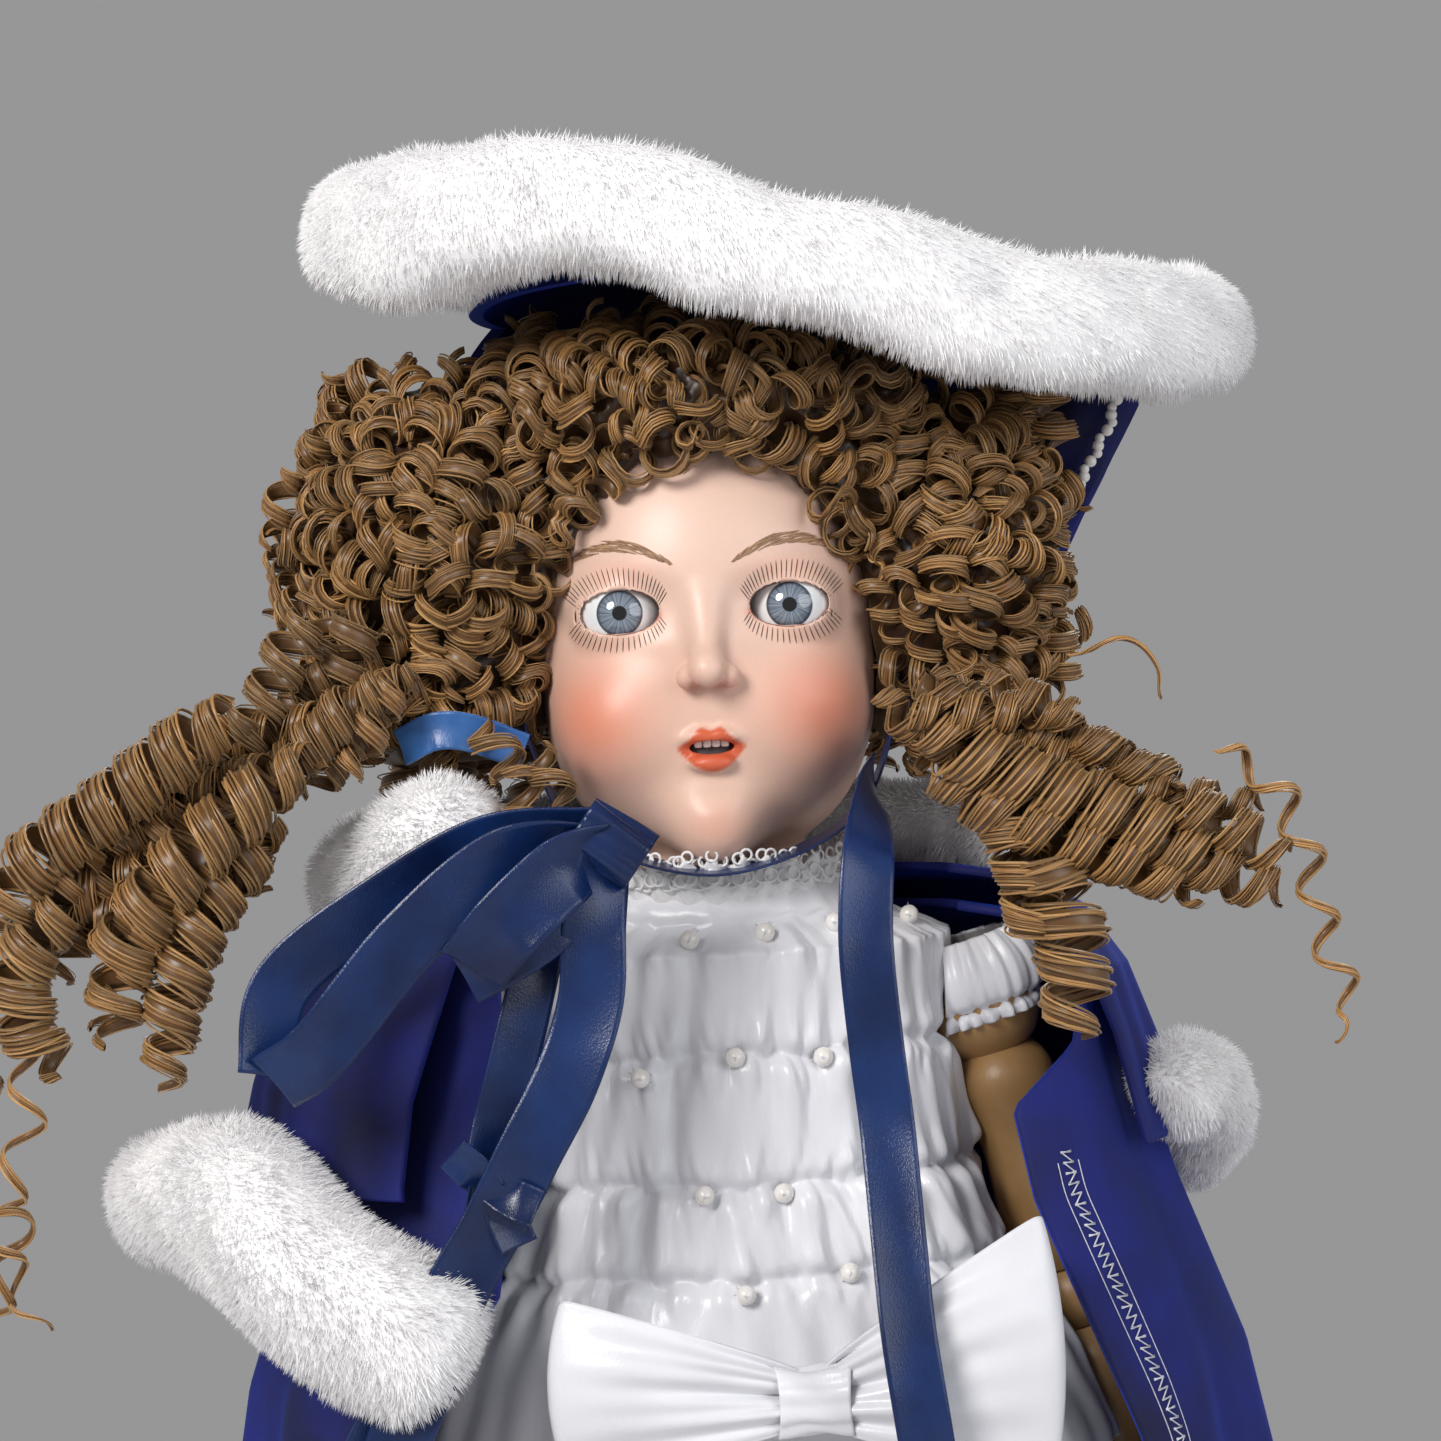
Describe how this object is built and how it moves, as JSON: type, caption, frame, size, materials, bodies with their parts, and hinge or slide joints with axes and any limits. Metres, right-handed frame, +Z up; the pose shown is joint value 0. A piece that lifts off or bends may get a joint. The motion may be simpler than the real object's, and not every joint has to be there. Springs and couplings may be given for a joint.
{
  "type": "porcelain doll",
  "caption": "Dressed bisque-head doll with jointed limbs and sleeping eyes, curled hair, fur-brimmed velvet bonnet, satin dress and open velvet coat.",
  "frame": {"origin": "midway between the feet at the floor, straight under the neck", "axes": "+Z up, the doll faces -Y, +X is the viewer's right"},
  "size_m": [0.3803, 0.236, 0.6966],
  "materials": {
    "bisque": "satin",
    "tooth": "gloss",
    "pate_board": "matte",
    "plug_wood": "matte",
    "hair": "satin",
    "velvet_crown": "matte",
    "white_fur": "matte",
    "pearl": "gloss",
    "navy_ribbon": "satin",
    "eye_glass": "gloss",
    "lid_wax": "satin",
    "lead": "matte",
    "composition": "satin",
    "elastic": "matte",
    "white_satin": "satin",
    "white_lace": "matte",
    "blue_velvet": "matte",
    "stocking": "matte",
    "shoe_leather": "gloss",
    "sole_leather": "matte"
  },
  "bodies": {
    "torso": {"torso": "composition", "arm_elastic": "elastic", "leg_elastic": "elastic", "dress_bodice": "white_satin", "skirt_l": "white_satin", "skirt_r": "white_satin", "lace_collar": "white_lace", "bodice_pearls": "pearl", "waist_bow": "white_satin", "coat_l": "blue_velvet", "coat_r": "blue_velvet", "capelet_l": "blue_velvet", "capelet_r": "blue_velvet", "fur_hem_l": "white_fur", "fur_hem_r": "white_fur", "fur_collar": "white_fur"},
    "head": {"bisque_head": "bisque", "teeth": "tooth", "pate": "pate_board", "neck_plug": "plug_wood", "wig": "hair", "back_curls": "hair", "ringlets_l": "hair", "ringlets_r": "hair", "bonnet_crown": "velvet_crown", "bonnet_brim": "white_fur", "bonnet_pearls": "pearl", "chin_ribbon": "navy_ribbon", "ribbon_bow": "navy_ribbon", "ribbon_tails": "navy_ribbon"},
    "eyes": {"eye_l": "eye_glass", "eye_r": "eye_glass", "eyelids": "lid_wax", "eye_rocker": "lead"},
    "upper_arm_l": {"upper_arm_l": "composition", "sleeve_l": "white_satin", "elbow_ball_l": "composition"},
    "forearm_l": {"forearm_l": "composition"},
    "hand_l": {"hand_l": "composition"},
    "thigh_l": {"thigh_l": "composition", "knee_ball_l": "composition"},
    "lower_leg_l": {"lower_leg_l": "composition", "sock_l": "stocking", "shoe_l": "shoe_leather", "sole_l": "sole_leather", "strap_l": "shoe_leather"},
    "upper_arm_r": {"upper_arm_r": "composition", "sleeve_r": "white_satin", "elbow_ball_r": "composition"},
    "forearm_r": {"forearm_r": "composition"},
    "hand_r": {"hand_r": "composition"},
    "thigh_r": {"thigh_r": "composition", "knee_ball_r": "composition"},
    "lower_leg_r": {"lower_leg_r": "composition", "sock_r": "stocking", "shoe_r": "shoe_leather", "sole_r": "sole_leather", "strap_r": "shoe_leather"}
  },
  "joints": [
    {"name": "neck_turn", "type": "hinge", "parent": "torso", "child": "head", "pos_m": [0, 0, 0.48], "axis": [0, 0, 1], "range_deg": [-45, 45], "deforming": ["ringlets_l", "ringlets_r", "chin_ribbon", "ribbon_bow", "ribbon_tails"]},
    {"name": "eye_close", "type": "hinge", "parent": "head", "child": "eyes", "pos_m": [0, -0.032, 0.557], "axis": [1, 0, 0], "range_deg": [0, 60]},
    {"name": "shoulder_swing_l", "type": "hinge", "parent": "torso", "child": "upper_arm_l", "pos_m": [-0.074, 0, 0.44], "axis": [-1, 0, 0], "range_deg": [-25, 90], "deforming": ["coat_l", "capelet_l", "fur_hem_l"]},
    {"name": "elbow_bend_l", "type": "hinge", "parent": "upper_arm_l", "child": "forearm_l", "pos_m": [-0.09678, 0, 0.355], "axis": [-1, 0, 0], "range_deg": [0, 85]},
    {"name": "wrist_turn_l", "type": "hinge", "parent": "forearm_l", "child": "hand_l", "pos_m": [-0.11852, 0, 0.27386], "axis": [-0.2588, 0, -0.9659], "range_deg": [-90, 90]},
    {"name": "hip_swing_l", "type": "hinge", "parent": "torso", "child": "thigh_l", "pos_m": [-0.031, 0, 0.258], "axis": [-1, 0, 0], "range_deg": [-10, 85], "deforming": ["skirt_l"]},
    {"name": "knee_bend_l", "type": "hinge", "parent": "thigh_l", "child": "lower_leg_l", "pos_m": [-0.031, 0, 0.143], "axis": [1, 0, 0], "range_deg": [0, 85]},
    {"name": "shoulder_swing_r", "type": "hinge", "parent": "torso", "child": "upper_arm_r", "pos_m": [0.074, 0, 0.44], "axis": [-1, 0, 0], "range_deg": [-25, 90], "deforming": ["coat_r", "capelet_r", "fur_hem_r"]},
    {"name": "elbow_bend_r", "type": "hinge", "parent": "upper_arm_r", "child": "forearm_r", "pos_m": [0.09678, 0, 0.355], "axis": [-1, 0, 0], "range_deg": [0, 85]},
    {"name": "wrist_turn_r", "type": "hinge", "parent": "forearm_r", "child": "hand_r", "pos_m": [0.11852, 0, 0.27386], "axis": [0.2588, 0, -0.9659], "range_deg": [-90, 90]},
    {"name": "hip_swing_r", "type": "hinge", "parent": "torso", "child": "thigh_r", "pos_m": [0.031, 0, 0.258], "axis": [-1, 0, 0], "range_deg": [-10, 85], "deforming": ["skirt_r"]},
    {"name": "knee_bend_r", "type": "hinge", "parent": "thigh_r", "child": "lower_leg_r", "pos_m": [0.031, 0, 0.143], "axis": [1, 0, 0], "range_deg": [0, 85]}
  ]
}
